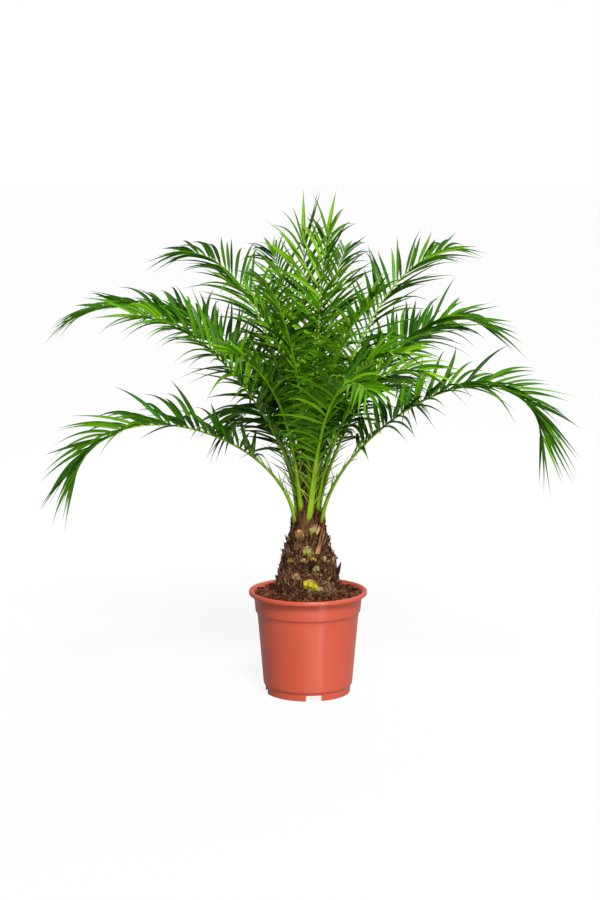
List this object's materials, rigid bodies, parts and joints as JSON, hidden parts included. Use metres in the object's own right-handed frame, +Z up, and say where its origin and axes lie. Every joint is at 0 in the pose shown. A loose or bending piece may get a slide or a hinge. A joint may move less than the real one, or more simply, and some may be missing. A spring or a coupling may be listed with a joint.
{
  "type": "potted pygmy date palm",
  "caption": "Young pygmy date palm with a short swollen trunk and a crown of arching feather fronds, in a round tapered nursery pot filled with soil.",
  "frame": {"origin": "middle of the pot's underside, on the ground", "axes": "+Z up along the pot's axis; seen from the front the camera looks along +Y, with +X to its right"},
  "size_m": [0.8401, 0.7323, 0.8102],
  "materials": {
    "pot": "satin moulded polypropylene, terracotta colour",
    "soil": "loose moist potting mix of peat and bark",
    "trunk": "rough brown leaf-base fibre",
    "leaf": "green, slightly glossy leaflets and ribs"
  },
  "bodies": {
    "root": {"pot": "pot", "soil": "soil", "trunk": "trunk", "frond_inner_1": "leaf", "frond_inner_2": "leaf", "frond_inner_3": "leaf", "frond_inner_4": "leaf", "frond_outer_1": "leaf", "frond_outer_1_tip": "leaf", "frond_outer_2": "leaf", "frond_outer_2_tip": "leaf", "frond_outer_3": "leaf", "frond_outer_3_tip": "leaf", "frond_outer_4": "leaf", "frond_outer_4_tip": "leaf", "frond_outer_5": "leaf", "frond_outer_5_tip": "leaf", "frond_second_1": "leaf", "frond_second_1_tip": "leaf", "frond_second_2": "leaf", "frond_second_2_tip": "leaf", "frond_second_3": "leaf", "frond_second_3_tip": "leaf", "frond_second_4": "leaf", "frond_second_5": "leaf", "frond_second_6": "leaf", "frond_second_6_tip": "leaf", "frond_second_7": "leaf", "frond_second_8": "leaf", "frond_third_1": "leaf", "frond_third_2": "leaf", "frond_third_3": "leaf", "frond_third_4": "leaf", "frond_third_5": "leaf", "frond_third_6": "leaf", "spear_leaf": "leaf"}
  },
  "joints": []
}
